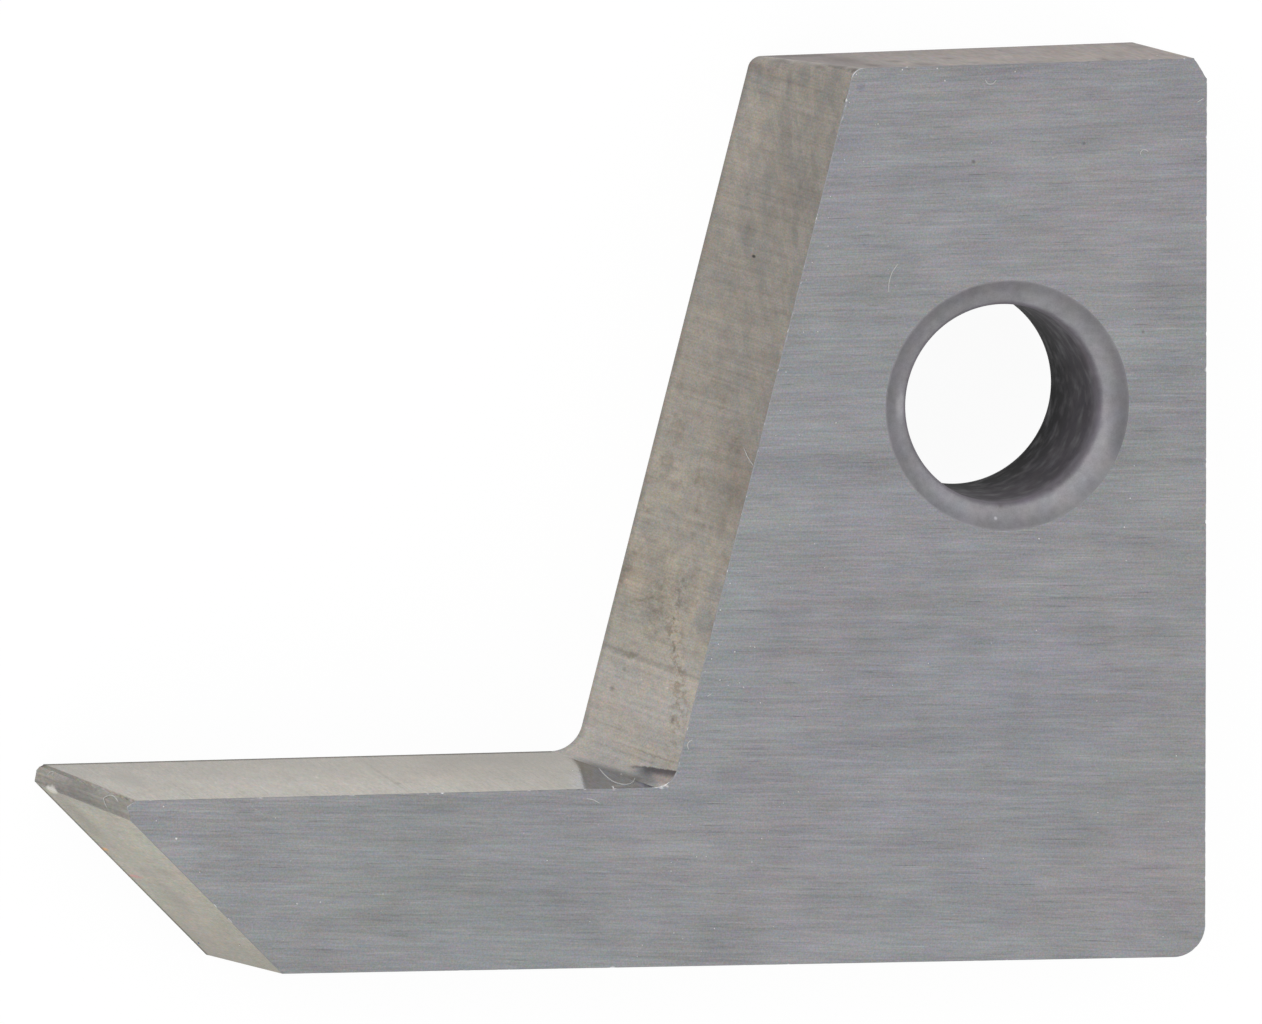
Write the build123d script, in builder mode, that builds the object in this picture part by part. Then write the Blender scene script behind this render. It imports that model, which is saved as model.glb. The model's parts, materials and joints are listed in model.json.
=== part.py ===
# Carbide lathe tool: one solid of ground carbide, held by a screw through its bore.
# A column rises at the heel, and a long foot reaches from it to a rounded cutting tip.
# The front face is the ground rake face. The walls behind it are relieved, each at its own angle.
import os

from build123d import *

os.makedirs("parts", exist_ok=True)

# Lengths are in millimetres and angles in degrees. The origin is the middle of the screw bore.
# +X points from the tip to the heel, +Y up the column, and +Z out of the rake face.

# Thickness from the seating face to the rake face
thickness = 4.6

# Screw bore, countersunk alike on both faces
bore_radius = 2.0
sink_radius = 2.5
sink_angle = 108

# Straight edges of the rake face: how far each one passes from the bore's axis
heel_distance = 4.13
top_distance = 6.88
slope_distance = 4.95
ledge_distance = 7.51
tip_distance = 18.41
base_distance = 11.18

# Directions of those edges
top_rise = 0.35
slope_lean = 14.66
ledge_fall = 0.13
flank_angle = 45.5
base_fall = 0.6

# Relief of each wall: positive widens the tool behind the rake face, negative narrows it
slope_relief = 11.1
ledge_relief = 3.1
flank_relief = 5.25
base_relief = 1.7
top_relief = -1.5
heel_relief = -0.75

# Rounded corners, and the broken corner at the top of the heel
tip_radius = 0.21
crown_radius = 0.28
throat_radius = 0.47
heel_radius = 0.65
break_along_top = 0.27
break_down_heel = 0.42

front_height = thickness / 2
rake_face = Plane.XY.offset(front_height)
seat_face = Plane.XY.offset(-front_height).rotated((180, 0, 0))


def edge_line(x, y, angle):
    """A straight edge of the rake face, through a point and at an angle from +X."""
    return Axis((x, y, 0), Vector(1, 0, 0).rotate(Axis.Z, angle))


top_edge = edge_line(0, top_distance, top_rise)
slope_edge = edge_line(-slope_distance, 0, 90 - slope_lean)
ledge_edge = edge_line(0, -ledge_distance, -ledge_fall)
flank_edge = edge_line(-tip_distance, -ledge_distance, -flank_angle)
base_edge = edge_line(0, -base_distance, -base_fall)
heel_edge = edge_line(heel_distance, 0, 90)

# Corners of the rake face, where neighbouring edges cross
crown = top_edge.intersect(slope_edge)
throat = slope_edge.intersect(ledge_edge)
tip = ledge_edge.intersect(flank_edge)
toe = flank_edge.intersect(base_edge)
heel = base_edge.intersect(heel_edge)
shoulder = heel_edge.intersect(top_edge)

# Each wall stands on the edge between two corners and has its own relief
walls = [
    (crown, throat, slope_relief),
    (throat, tip, ledge_relief),
    (tip, toe, flank_relief),
    (toe, heel, base_relief),
    (heel, shoulder, heel_relief),
    (shoulder, crown, top_relief),
]


def corner_edge(part, corner):
    """The edge that crosses the whole thickness at a corner of the rake face."""
    crossing = part.edges().filter_by(lambda edge: edge.bounding_box().size.Z > front_height)
    return crossing.sort_by_distance(corner + Vector(0, 0, front_height))[0]


with BuildPart() as tool_body:
    with BuildSketch(rake_face):
        with BuildLine():
            Polyline(crown, throat, tip, toe, heel, shoulder, close=True)
        make_face()
    extrude(amount=-thickness)

    # Walls ground back from the edges of the rake face
    for start, end, relief in walls:
        middle = (start + end) / 2
        wall = tool_body.faces().sort_by_distance(middle)[0]
        draft(wall, rake_face, relief)

    # Rounded corners
    fillet(corner_edge(tool_body, tip), tip_radius)
    fillet(corner_edge(tool_body, crown), crown_radius)
    fillet(corner_edge(tool_body, throat), throat_radius)
    fillet(corner_edge(tool_body, heel), heel_radius)

    # Broken corner between the heel wall and the top
    shoulder_edge = corner_edge(tool_body, shoulder)
    top_wall = tool_body.faces().sort_by_distance((crown + shoulder) / 2)[0]
    chamfer(shoulder_edge, break_along_top, break_down_heel, reference=top_wall)

    # Screw bore with a countersink in the rake face and another in the seating face
    with Locations(rake_face, seat_face):
        CounterSinkHole(bore_radius, sink_radius, counter_sink_angle=sink_angle)

tool_body.part.label = "tool_body"
export_step(tool_body.part, "parts/tool_body.step")
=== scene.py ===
"""Finish, dust and stage of a solid carbide lathe tool, laid out as a Blender add-on.

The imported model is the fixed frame. The body's skin is worked out from the same sizes, with the small
roundings and chips of its edges, and replaces the plain solid.
"""
import json
import math
from collections import namedtuple

import bpy
import numpy as np
from bpy.props import FloatProperty, FloatVectorProperty, IntProperty, PointerProperty
from mathutils import Matrix, Vector


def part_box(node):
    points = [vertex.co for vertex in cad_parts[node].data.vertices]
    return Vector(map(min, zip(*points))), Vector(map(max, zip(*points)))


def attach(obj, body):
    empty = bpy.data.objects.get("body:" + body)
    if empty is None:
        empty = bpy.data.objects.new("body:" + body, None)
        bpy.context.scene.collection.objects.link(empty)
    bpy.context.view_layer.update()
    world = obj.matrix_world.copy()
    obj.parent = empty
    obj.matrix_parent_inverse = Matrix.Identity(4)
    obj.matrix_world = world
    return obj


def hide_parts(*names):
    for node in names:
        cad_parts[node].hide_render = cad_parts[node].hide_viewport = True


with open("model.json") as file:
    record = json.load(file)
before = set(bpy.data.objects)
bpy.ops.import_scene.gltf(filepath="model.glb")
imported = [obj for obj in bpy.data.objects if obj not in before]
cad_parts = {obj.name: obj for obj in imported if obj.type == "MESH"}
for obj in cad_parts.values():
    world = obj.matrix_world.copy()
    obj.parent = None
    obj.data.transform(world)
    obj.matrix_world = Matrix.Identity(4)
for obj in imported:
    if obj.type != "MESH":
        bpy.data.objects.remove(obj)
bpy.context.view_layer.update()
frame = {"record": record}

bl_info = {
    "name": "Carbide Lathe Tool",
    "version": (1, 0, 0),
    "blender": (4, 5, 0),
    "location": "3D View > Sidebar > Lathe Tool",
    "description": "Skin, ground finishes, dust and stage of a solid carbide lathe tool",
    "category": "Mesh",
}

MM = 0.001
BODY_LOW, BODY_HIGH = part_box("tool_body")
BORE = next(mount for mount in frame["record"]["mounts"] if mount["name"] == "screw_bore")
BORE_RADIUS = BORE["dims"]["r_mm"] * MM
THICKNESS = BODY_HIGH.z - BODY_LOW.z
SINK_DEPTH = (THICKNESS - BORE["dims"]["length_mm"] * MM) / 2

# Straight walls and rounded corners in the order met on an anticlockwise walk round the rake face.
# Corner k lies between wall k and the next one.
WALLS = ("slope", "ledge", "flank", "base", "heel", "shoulder", "top")
CORNERS = ("throat", "tip", "toe", "heel_corner", "shoulder_low", "shoulder_high", "crown")

# Worn flats of the tip on the rake face and on the seating face: which way each one faces, and its share of
# the tip's radius
TIP_FLATS = ({120.7: 0.86, 202.3: 0.70}, {112.0: 0.82, 138.0: 0.73, 170.0: 0.65})

FINISHES = (
    "rake", "slope", "ledge", "nose", "flank", "outer", "top", "seat", "bore", "front_edge", "back_edge",
)


def length(name, text, millimetres):
    """A length property with its default in millimetres."""
    metres = millimetres * MM
    return FloatProperty(name=name, description=text, default=metres, subtype="DISTANCE", unit="LENGTH")


def angle(name, text, degrees):
    """An angle property with its default in degrees."""
    return FloatProperty(name=name, description=text, default=math.radians(degrees), subtype="ANGLE")


def shade(name, text, linear):
    """A colour property with its default in linear red, green and blue."""
    return FloatVectorProperty(name=name, description=text, default=linear, subtype="COLOR", min=0, max=1)


def number(name, text, value, **settings):
    """A property that is a plain number."""
    return FloatProperty(name=name, description=text, default=value, **settings)


def whole_number(name, text, value):
    """A whole number that isn't negative."""
    return IntProperty(name=name, description=text, default=value, min=0)


class ToolSizes(bpy.types.PropertyGroup):
    """Sizes of the tool's skin. The walls' distances are from the bore's axis, on the rake face."""

    thickness: length("Thickness", "From the seating face to the rake face", THICKNESS / MM)
    heel_distance: length("Heel", "From the bore to the heel wall", BODY_HIGH.x / MM)
    top_distance: length("Top", "From the bore up to the top edge", 6.88)
    slope_distance: length("Slope", "From the bore to the leaning edge, level with the bore", 4.962)
    ledge_distance: length("Ledge", "From the bore down to the foot's upper edge", 7.51)
    tip_distance: length("Tip", "From the bore to where the tip's edges would meet", 18.41)
    base_distance: length("Base", "From the bore down to the lower edge", 11.189)

    top_rise: angle("Top rise", "Rise of the top edge towards the heel", 0.35)
    slope_lean: angle("Slope lean", "Lean of the column's edge from upright", 14.57)
    ledge_fall: angle("Ledge fall", "Fall of the foot's upper edge towards the heel", 0.13)
    flank_angle: angle("Flank angle", "Angle of the tip's lower edge to the foot", 45.5)
    base_fall: angle("Base fall", "Fall of the lower edge towards the heel", 0.6)

    slope_relief: angle("Slope relief", "How far the leaning wall spreads behind the rake face", 11.0)
    ledge_relief: angle("Ledge relief", "How far the foot's upper wall spreads behind the rake face", 3.1)
    flank_relief: angle("Flank relief", "How far the flank spreads behind the rake face", 5.25)
    base_relief: angle("Base relief", "How far the lower wall spreads behind the rake face", 1.7)
    top_relief: angle("Top relief", "How far the top wall draws in behind the rake face", -1.62)
    top_twist: angle("Top twist", "Extra fall of the top wall's far edge towards the crown", 0.37)
    heel_relief: angle("Heel relief", "How far the heel wall draws in behind the rake face", -0.75)

    throat_radius: length("Throat radius", "Rounding between the column and the foot, on the rake face", 0.47)
    throat_back_radius: length("Throat radius at the back", "The same rounding on the seating face", 0.67)
    tip_radius: length("Tip radius", "Rounding of the cutting tip", 0.21)
    tip_wear: number("Tip wear", "How deep the worn flats cut into the tip", 1.0)
    heel_radius: length("Heel radius", "Rounding below the heel", 0.65)
    crown_radius: length("Crown radius", "Rounding above the leaning wall, on the rake face", 0.26)
    crown_back_radius: length("Crown radius at the back", "The same rounding on the seating face", 0.28)
    corner_radius: length("Corner radius", "Rounding of the corners that look sharp", 0.015)
    break_along_top: length("Break along top", "Broken corner, along the top edge", 0.27)
    break_down_heel: length("Break down heel", "Broken corner, down the heel edge", 0.42)

    bore_radius: length("Bore radius", "Screw bore", BORE_RADIUS / MM)
    sink_depth: length("Countersink depth", "Depth of the countersink at each face", SINK_DEPTH / MM)
    sink_angle: angle("Countersink angle", "Whole angle of the countersink's cone", 108)

    edge_round: length("Edge rounding", "Rounding of the rake face's edges", 0.012)
    back_round: length("Back edge rounding", "Rounding of the seating face's edges", 0.025)
    point_gap: length("Point spacing", "Spacing of the mesh along the walls", 0.025)
    chip_count: whole_number("Chips", "Small chips along the rake face's edges", 150)


class ToolShades(bpy.types.PropertyGroup):
    """Colours of the ground carbide and of what lies on it."""

    rake: shade("Rake face", "Ground grey of the face", (0.257, 0.2575, 0.269))
    slope: shade("Leaning wall", "Warmer grey of the column's wall", (0.244, 0.225, 0.202))
    haze: shade("Haze", "Pale beige haze on its upper half", (0.330, 0.296, 0.256))
    slope_warm: shade("Leaning wall, warm", "Paler and browner, half way down", (0.372, 0.338, 0.288))
    slope_clean: shade("Leaning wall, clean", "Palest towards the throat", (0.420, 0.386, 0.350))
    film: shade("Film", "Brown film on the leaning wall", (0.195, 0.157, 0.123))
    walls: shade("Relieved walls", "Ground grey of the foot's walls", (0.250, 0.241, 0.226))
    nose: shade("Nose", "Ground grey of the tip's rounding", (0.342, 0.322, 0.290))
    ledge_sheen: shade("Ledge sheen", "Share of light kept at a grazing angle", (0.90, 0.87, 0.82))
    flank_sheen: shade("Flank sheen", "Share of light kept at a grazing angle", (0.75, 0.73, 0.66))
    top: shade("Top wall", "Grey of the top wall", (0.235, 0.220, 0.207))
    top_stain: shade("Top wall, stained", "Browner grey near the crown", (0.140, 0.130, 0.128))
    top_sheen: shade("Top sheen", "Share of light kept at a grazing angle", (0.92, 0.85, 0.83))
    seat: shade("Seating face", "Ground grey of the seating face", (0.257, 0.256, 0.266))
    ring: shade("Countersink", "Grey of the countersink", (0.310, 0.304, 0.318))
    bore: shade("Bore", "Dark skin of the bore", (0.170, 0.155, 0.178))
    # The far edges' dark line is painted shade
    back_edge: shade("Back edges", "Dark line along the far edges", (0.045, 0.042, 0.040))
    lint: shade("Lint", "Pale fibres of lint", (0.520, 0.520, 0.505))
    dust: shade("Dust", "Pale grains of dust", (0.700, 0.700, 0.690))
    blue_dust: shade("Blue dust", "A blue grain", (0.120, 0.200, 0.420))


class ToolDust(bpy.types.PropertyGroup):
    """Sizes of the lint and the dust that lie on the tool."""

    fibre_width: length("Fibre width", "Thickness of a lint fibre", 0.016)
    grain_width: length("Grain width", "Width of a grain of dust", 0.032)
    stray_grains: whole_number("Stray grains", "Faint grains on the rake face", 120)


class StageSettings(bpy.types.PropertyGroup):
    """Camera, floor and light."""

    distance: length("Camera distance", "From the rake face to the camera", 800)
    focal: number("Focal length", "Lens in millimetres", 1139.2, unit="CAMERA")
    tilt: angle("Tilt", "Angle between the line of sight and the rake face's normal", 15.44)
    azimuth: angle("Azimuth", "Which way the camera leans, from -X towards +Y", 23.798)
    roll: angle("Roll", "Turn of the picture", 0.028)
    bore_right: length("Bore right of middle", "How far right of the picture's middle the bore is", 7.539)
    bore_above: length("Bore above middle", "How far above the picture's middle the bore is", 2.130)
    floor_size: length("Floor size", "Side of the square floor", 2000)
    lamp_distance: length("Lamp distance", "From the tool to each lamp", 600)
    lamp_size: length("Lamp size", "Side of each square lamp", 450)
    lamp_power: number("Lamp power", "Power of the main lamp", 0.6, unit="POWER")


# Plan of the body


def walls(sizes):
    """Six straight walls: a point on the front edge, the direction of travel and the relief."""
    half_turn = math.pi
    return (
        ((-sizes.slope_distance, 0), 1.5 * half_turn - sizes.slope_lean, sizes.slope_relief),
        ((0, -sizes.ledge_distance), half_turn - sizes.ledge_fall, sizes.ledge_relief),
        ((-sizes.tip_distance, -sizes.ledge_distance), -sizes.flank_angle, sizes.flank_relief),
        ((0, -sizes.base_distance), -sizes.base_fall, sizes.base_relief),
        ((sizes.heel_distance, 0), 0.5 * half_turn, sizes.heel_relief),
        ((0, sizes.top_distance), half_turn + sizes.top_rise, sizes.top_relief),
    )


def outward(travel):
    """Unit vectors a quarter turn to the right of the directions of travel."""
    return np.stack([np.sin(travel), -np.cos(travel)], axis=-1)


def crossings(normals, first, second):
    """Where each line n . p = first meets the line after it, next n . p = second."""
    pairs = np.stack([normals, np.roll(normals, -1, axis=0)], axis=1)
    return np.linalg.solve(pairs, np.stack([first, second], axis=1)[..., None])[..., 0]


def wall_lines(sizes, depth):
    """Directions of travel and offsets of the seven walls' lines at one depth.

    A line keeps its direction and moves out by the depth times the tangent of its relief. Only the top's line
    turns as well, by its twist over the whole thickness. The broken shoulder is one more line, between the
    heel and the top, that cuts both at set distances from the corner where they would meet.
    """
    points, travel, relief = (np.array(column, float) for column in zip(*walls(sizes)))
    travel[-1] += sizes.top_twist * depth / sizes.thickness
    normals = outward(travel)
    offset = (points * normals).sum(axis=1) + depth * np.tan(relief)
    heel = WALLS.index("heel")
    corner = crossings(normals, offset, np.roll(offset, -1))[heel]
    low = corner - sizes.break_down_heel * np.array([math.cos(travel[heel]), math.sin(travel[heel])])
    high = corner + sizes.break_along_top * np.array([math.cos(travel[heel + 1]), math.sin(travel[heel + 1])])
    cut = math.atan2(*(high - low)[::-1])
    travel = np.insert(travel, heel + 1, cut)
    offset = np.insert(offset, heel + 1, low @ outward(np.array(cut)))
    return travel, offset


def worn_reach(sizes, swept):
    """Share of the tip's radius left in each direction swept, on the rake face and on the seating face.

    A flat that faces f, at the share l of the radius, keeps the arc within l / cos(t - f) in the direction t.
    """
    reach = np.ones((*swept.shape[:2], 1))
    for face, flats in enumerate(TIP_FLATS):
        for facing, level in flats.items():
            towards = outward(np.array(math.radians(facing + 90)))
            flat = level / np.clip(swept[face] @ towards, 0.1, None)
            worn = 1 + sizes.tip_wear * np.minimum(flat - 1, 0)
            reach[face, :, 0] = np.minimum(reach[face, :, 0], worn)
    return reach


def outline(sizes):
    """Plan of the walls on the rake face and on the seating face, with as many points in both.

    Each corner is an arc: centre + side * radius * n(t), where t turns evenly from one wall's direction of
    travel to the next one's and side is +1 outside and -1 in the throat. Straight lines join the arcs.
    The tip's radius is cut short by its worn flats.
    Returns the two plans, the outward normals, and for each point the wall or corner that starts there.
    """
    radii = {
        "throat": (sizes.throat_radius, sizes.throat_back_radius),
        "tip": (sizes.tip_radius, sizes.tip_radius),
        "heel_corner": (sizes.heel_radius, sizes.heel_radius),
        "crown": (sizes.crown_radius, sizes.crown_back_radius),
    }
    radius = np.array([radii.get(name, (sizes.corner_radius,) * 2) for name in CORNERS]).T[..., None]
    lines = [wall_lines(sizes, depth) for depth in (0, sizes.thickness)]
    travel, offset = np.stack(lines, axis=1)
    turn = (np.roll(travel, -1, axis=1) - travel + math.pi) % (2 * math.pi) - math.pi
    side = np.sign(turn)[..., None]
    normals = outward(travel)
    reach = (side * radius)[..., 0]
    after = np.roll(offset, -1, axis=1)
    centre = np.stack([crossings(normals[i], offset[i] - reach[i], after[i] - reach[i]) for i in (0, 1)])
    arc_start = centre + side * radius * normals
    arc_end = centre + side * radius * np.roll(normals, -1, axis=1)

    plans, faces_out, labels = [], [], []
    for k, wall in enumerate(WALLS):
        begin, end = arc_end[:, k - 1, None], arc_start[:, k, None]
        steps = max(2, round(float(np.linalg.norm(end - begin, axis=-1).max()) / sizes.point_gap))
        share = np.arange(1, steps)[:, None] / steps
        plans.append(begin + (end - begin) * share)
        faces_out.append(np.repeat(normals[:1, k], steps - 1, axis=0))
        labels += [wall] * (steps - 1)

        steps = max(3, round(abs(turn[0, k]) * float(radius[:, k].max()) / (0.4 * sizes.point_gap)))
        swept = outward(travel[:, k, None] + turn[:, k, None] * np.arange(steps + 1) / steps)
        worn = worn_reach(sizes, swept) if CORNERS[k] == "tip" else 1.0
        plans.append(centre[:, k, None] + (side * radius)[:, k, None] * worn * swept)
        faces_out.append(swept[0])
        labels += [CORNERS[k]] * steps + [WALLS[(k + 1) % len(WALLS)]]
    return np.concatenate(plans, axis=1), np.concatenate(faces_out), np.array(labels)


def chipped_edge(sizes, walked):
    """Rounding of the rake face's edge at each point: a fine waver, and chips that are half ellipses.

    A chip of width w and depth d at the place c adds d * sqrt(1 - ((s - c) / w) ** 2).
    """
    chance = np.random.default_rng(12)
    whole = walked[-1]
    places = chance.uniform(0, whole, sizes.chip_count)
    narrowest, widest, usual_depth = 0.02, 0.075, 0.009
    widths = MM * chance.uniform(narrowest, widest, sizes.chip_count)
    depths = MM * chance.gamma(1.6, usual_depth, sizes.chip_count)
    near = 1 - ((walked[:, None] - places) / widths) ** 2
    chips = (depths * np.sqrt(np.clip(near, 0, None))).max(axis=1)
    waves = 60
    phases = chance.uniform(0, 2 * math.pi, (2, waves))[0][:, None]
    counts = 7 * np.arange(1, waves + 1)[:, None]
    waver = np.sin(2 * math.pi * counts * walked / whole + phases).sum(axis=0) / math.sqrt(waves)
    return sizes.edge_round * (1 + 0.2 * waver) + chips


def wall_rows(sizes, edge):
    """Depth and inset of each row of points, from the rake face down to the seating face.

    Both edges are quarter circles of radius b: inset b * (1 - sin t) at depth b * (1 - cos t). A row close
    to each edge keeps the wall between them flat.
    """
    sweep = np.radians([0, 30, 60, 90])[:, None]
    back = np.full_like(edge, sizes.back_round)
    guard = 0.02 * MM
    middle = np.linspace(0.2, 0.8, 4)[:, None] * sizes.thickness
    depth = np.concatenate([
        edge * (1 - np.cos(sweep)),
        [edge + guard],
        np.broadcast_to(middle, (4, len(edge))),
        [sizes.thickness - back - guard],
        sizes.thickness - back * (1 - np.cos(sweep[::-1])),
    ])
    inset = np.concatenate([
        edge * (1 - np.sin(sweep)),
        np.zeros((6, len(edge))),
        back * (1 - np.sin(sweep[::-1])),
    ])
    return depth, inset


def bore_rows(sizes):
    """Radius and depth of each row of the bore: mouth, cone, bore, and the same again in reverse.

    The mouth's edge and the edge between cone and bore are rounded by quadratic curves.
    """
    slope = math.tan(sizes.sink_angle / 2)
    mouth = sizes.bore_radius + sizes.sink_depth * slope
    lip, blend = 0.02 * MM, 0.10 * MM
    share = np.linspace(0, 1, 5)

    def bend(a, b, c):
        """Curve from a to c that leaves and arrives along the lines to b."""
        t = share[:, None]
        return (1 - t) ** 2 * a + 2 * t * (1 - t) * b + t**2 * c

    fall = np.array([-math.sin(sizes.sink_angle / 2), math.cos(sizes.sink_angle / 2)])
    throat = np.array([sizes.bore_radius, sizes.sink_depth])
    edge = np.array([mouth, 0])
    top = np.concatenate([
        bend(edge + (lip, 0), edge, edge + lip * fall),
        bend(throat - blend * fall, throat, throat + (0, blend)),
    ])
    deep = np.linspace(sizes.sink_depth + 2 * blend, sizes.thickness / 2, 5)
    half = np.concatenate([top, np.stack([np.full(5, sizes.bore_radius), deep], axis=1)])
    below = half[:-1][::-1] * (1, -1) + (0, sizes.thickness)
    return np.concatenate([half, below])


def grid_quads(first, rows, columns, flip=False):
    """Corner numbers of the quads between the rows of a grid that closes on itself sideways."""
    here = first + np.arange(rows * columns).reshape(rows, columns)
    right = np.roll(here, -1, axis=1)
    corners = [here[:-1], here[1:], right[1:], right[:-1]]
    if flip:
        corners.reverse()
    return np.stack(corners, axis=-1).reshape(-1, 4)


def wall_points(sizes, front, back, normals):
    """Rows of points down the walls: plan(depth) - inset * normal, with plan going from front to back."""
    walked = np.concatenate([[0], np.cumsum(np.linalg.norm(np.diff(front, axis=0), axis=1))])
    depth, inset = wall_rows(sizes, chipped_edge(sizes, walked))
    share = (depth / sizes.thickness)[..., None]
    plan = front + (back - front) * share - inset[..., None] * normals
    return np.concatenate([plan, (sizes.thickness / 2 - depth)[..., None]], axis=-1)


def bore_points(sizes, turns):
    """Rows of points down the bore: radius * (cos a, sin a) at each depth of its profile."""
    around = np.arange(turns) * 2 * math.pi / turns
    profile = bore_rows(sizes)
    return np.stack([
        profile[:, :1] * np.cos(around),
        profile[:, :1] * np.sin(around),
        np.repeat(sizes.thickness / 2 - profile[:, 1:], turns, axis=1),
    ], axis=-1)


def flat_faces(labels, level, first, turns, sunk):
    """The rake face and the seating face, each as two big faces that meet along the line y = 0.

    The level of a point is how far it is from that line. The bore's points start at the first one and go
    round it in so many turns. To get to the seating face, a wall's point sinks by the first number of sunk
    and a bore's point by the second.
    """
    left = int(np.where(labels == "slope", level, np.inf).argmin())
    right = int(np.where(labels == "heel", level, np.inf).argmin())
    half = turns // 2
    upper_bore = first + np.arange(half, -1, -1)
    lower_bore = first + np.arange(turns - 1, half - 1, -1)
    upper = np.concatenate([np.arange(right, len(labels)), np.arange(left + 1), upper_bore])
    lower = np.concatenate([np.arange(left, right + 1), [first], lower_bore])
    under = [(loop + np.where(loop < first, *sunk))[::-1] for loop in (upper, lower)]
    return [loop.tolist() for loop in (upper, lower, *under)]


def wall_finishes(labels, rows):
    """Number of the finish of each face of the walls, row by row."""
    known = {name: name for name in ("slope", "ledge", "flank", "top")}
    known.update(throat="slope", tip="nose", toe="flank", crown="slope")
    column = np.array([FINISHES.index(known.get(name, "outer")) for name in labels])
    tip = np.flatnonzero(labels == "tip")
    column[tip[: len(tip) // 8]] = FINISHES.index("ledge")
    column[tip[-1] + 1 : tip[-1] + 4] = FINISHES.index("nose")
    by_row = np.repeat(column[None], rows, axis=0)
    by_row[:3] = FINISHES.index("front_edge")
    # The seating face's edge rows take the dark finish of painted shade
    by_row[-3:] = FINISHES.index("back_edge")
    return by_row.ravel()


def body_mesh(sizes):
    """Points, faces, finishes and smoothness of the whole skin: walls, bore and two flat faces."""
    (front, back), normals, labels = outline(sizes)
    turns = 360
    walls_down, bore_down = wall_points(sizes, front, back, normals), bore_points(sizes, turns)
    (rows, count), bore_height = walls_down.shape[:2], len(bore_down)
    first = rows * count
    sunk = (first - count, (bore_height - 1) * turns)
    caps = flat_faces(labels, np.abs(front[:, 1]), first, turns, sunk)
    bore_quads = grid_quads(first, bore_height, turns, flip=True).tolist()
    faces = grid_quads(0, rows, count).tolist() + bore_quads + caps
    finish = np.concatenate([
        wall_finishes(labels, rows - 1),
        np.full(len(bore_quads), FINISHES.index("bore")),
        [FINISHES.index(name) for name in ("rake", "rake", "seat", "seat")],
    ])
    smooth = np.arange(len(faces)) < len(faces) - len(caps)
    points = np.concatenate([walls_down.reshape(-1, 3), bore_down.reshape(-1, 3)])
    return points, faces, finish, smooth


# Lint and dust

# Fibres of lint: the surface that each lies on, its width as a share of the usual one, and the points that it
# passes. The rake face is followed by X and Y, a wall by the place along it and the height above the middle.
FIBRES = {
    "curl by the top": ("rake", 1, ((-0.47, 6.57), (-0.41, 6.49), (-0.31, 6.49), (-0.24, 6.56))),
    "arc": ("rake", 1, ((2.75, 4.99), (2.76, 5.05), (2.81, 5.09), (2.87, 5.08), (2.91, 5.04))),
    "dash": ("rake", 1, ((3.93, 6.02), (4.06, 6.09))),
    "squiggle": ("rake", 1, ((-2.27, 2.91), (-2.39, 2.74), (-2.45, 2.55), (-2.46, 2.35))),
    "foot dash": ("rake", 1, ((-8.69, -7.68), (-8.55, -7.71), (-8.42, -7.78))),
    "hook": ("rake", 1.2, ((-6.51, -6.56), (-6.58, -6.60), (-6.61, -6.67), (-6.58, -6.75))),
    "short": ("rake", 1, ((-6.11, -5.64), (-6.20, -5.69))),
    "throat arc": (
        "ledge", 1.7,
        ((7.81, -0.11), (7.90, 0.73), (7.93, 1.48), (7.85, 1.86), (7.72, 1.90), (7.56, 1.67), (7.40, 1.22)),
    ),
    "slope curl": ("slope", 1.1, ((2.08, 1.67), (2.24, 1.98), (2.36, 2.28))),
    "nose curl": (
        "flank", 1.5,
        (
            (-7.31, 1.20), (-7.40, 1.14), (-7.50, 1.15), (-7.59, 1.24), (-7.58, 1.42), (-7.51, 1.62),
            (-7.44, 1.80),
        ),
    ),
    "nose crumb": (
        "flank", 1.3, ((-8.02, -1.71), (-8.08, -1.69), (-8.10, -1.62), (-8.06, -1.56), (-8.01, -1.51)),
    ),
}

# Grains of dust of each kind on each surface: two numbers for the place, as for a fibre, and the width as a
# share of the usual one
GRAINS = {
    "dust": {
        "rake": (
            (-17.13, -8.25, 1.5), (-14.65, -9.63, 0.9), (-14.17, -9.61, 0.8), (-17.39, -7.60, 0.9),
            (-17.54, -7.88, 0.8), (-5.73, -3.43, 0.8), (-5.93, -3.96, 0.9), (-5.97, -4.65, 0.8),
            (-6.11, -4.94, 0.8), (-5.22, -4.73, 0.7), (-5.63, -4.81, 0.9), (-5.94, -5.37, 0.8),
            (-5.45, -5.53, 0.7), (-5.10, -5.85, 0.8), (2.55, -1.93, 0.9), (2.43, -2.51, 0.9),
            # The grain at (-3.335, 6.225) is a painted highlight: a pale grain put on the glint under the
            # crown
            (0.66, -2.70, 0.9), (-3.13, 6.74, 0.8), (-3.335, 6.225, 1.3), (-2.18, 6.81, 0.9),
            (-1.46, 6.82, 0.9), (-1.30, 6.57, 0.8), (-8.14, -7.48, 0.9),
        ),
        "ledge": ((8.42, 0.18, 1.5), (8.68, 1.36, 0.8), (7.55, 0.69, 1.3), (8.08, 2.10, 1.3)),
        "flank": ((-3.34, 1.15, 1.1),),
        "top": ((-3.38, 1.37, 0.9),),
    },
    "blue_dust": {
        "flank": ((-3.20, -1.98, 1.3),),
    },
}


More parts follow.
